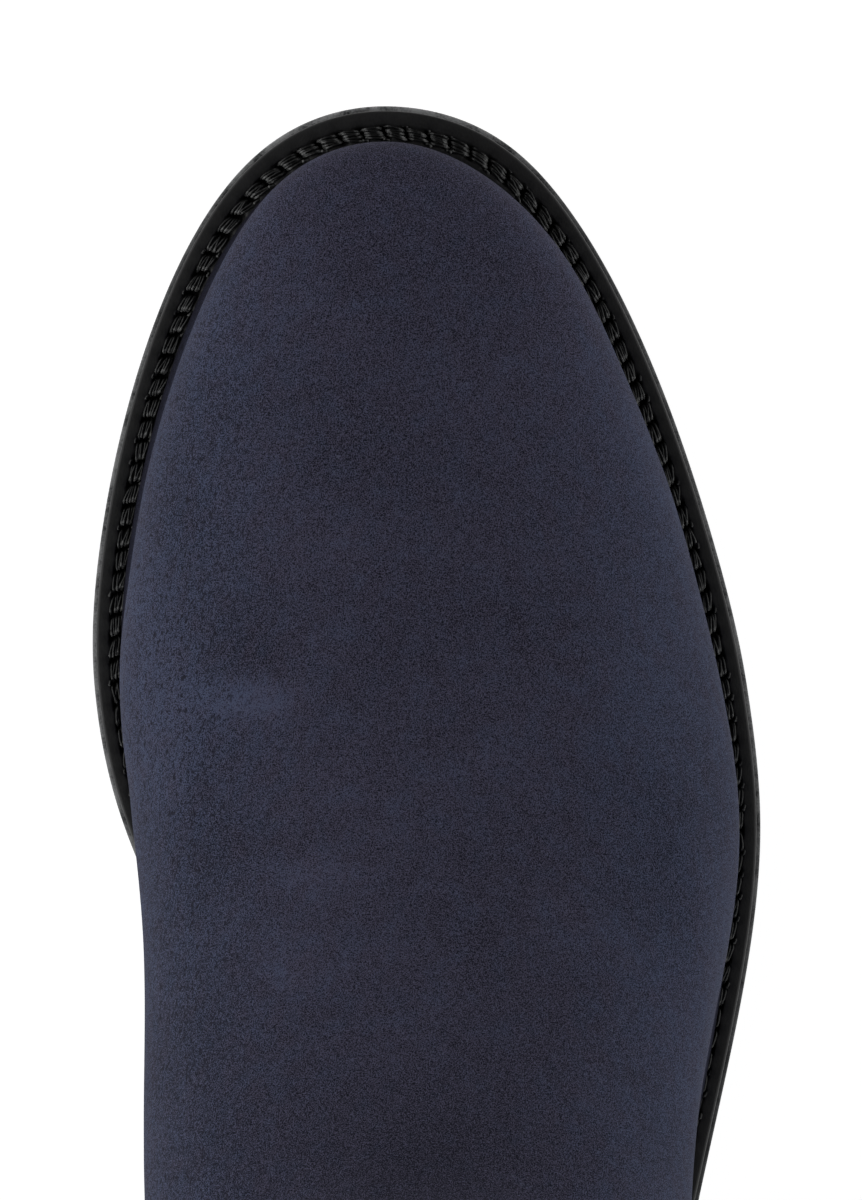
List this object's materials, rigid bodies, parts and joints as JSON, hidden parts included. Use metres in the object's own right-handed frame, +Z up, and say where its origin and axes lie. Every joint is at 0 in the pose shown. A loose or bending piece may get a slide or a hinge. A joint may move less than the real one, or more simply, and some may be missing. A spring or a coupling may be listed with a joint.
{
  "type": "ankle boot",
  "caption": "Plain pull-on ankle boot for the right foot: suede upper with a round almond toe, stitched black welt, thin sole and low heel.",
  "frame": {"origin": "on the floor under the middle of the boot's bounding box; the floor is the plane that the heel's top piece and the flat spot of the forepart stand on", "axes": "+Y to the toe, +X to the outer side of the right foot, +Z up"},
  "size_m": [0.0995, 0.2719, 0.164],
  "materials": {
    "suede": "navy suede with a short nap, matt, lighter where the nap catches light",
    "insole_leather": "smooth brown-grey leather sock, matt",
    "welt_leather": "black, dressed and waxed to a satin",
    "sole_rubber": "black-grey rubber, matt",
    "heel_leather": "black stacked leather, inked edge, satin"
  },
  "bodies": {
    "root": {"upper": "suede", "insole": "insole_leather", "welt": "welt_leather", "outsole": "sole_rubber", "heel_stack": "heel_leather", "heel_top_piece": "sole_rubber"}
  },
  "joints": []
}
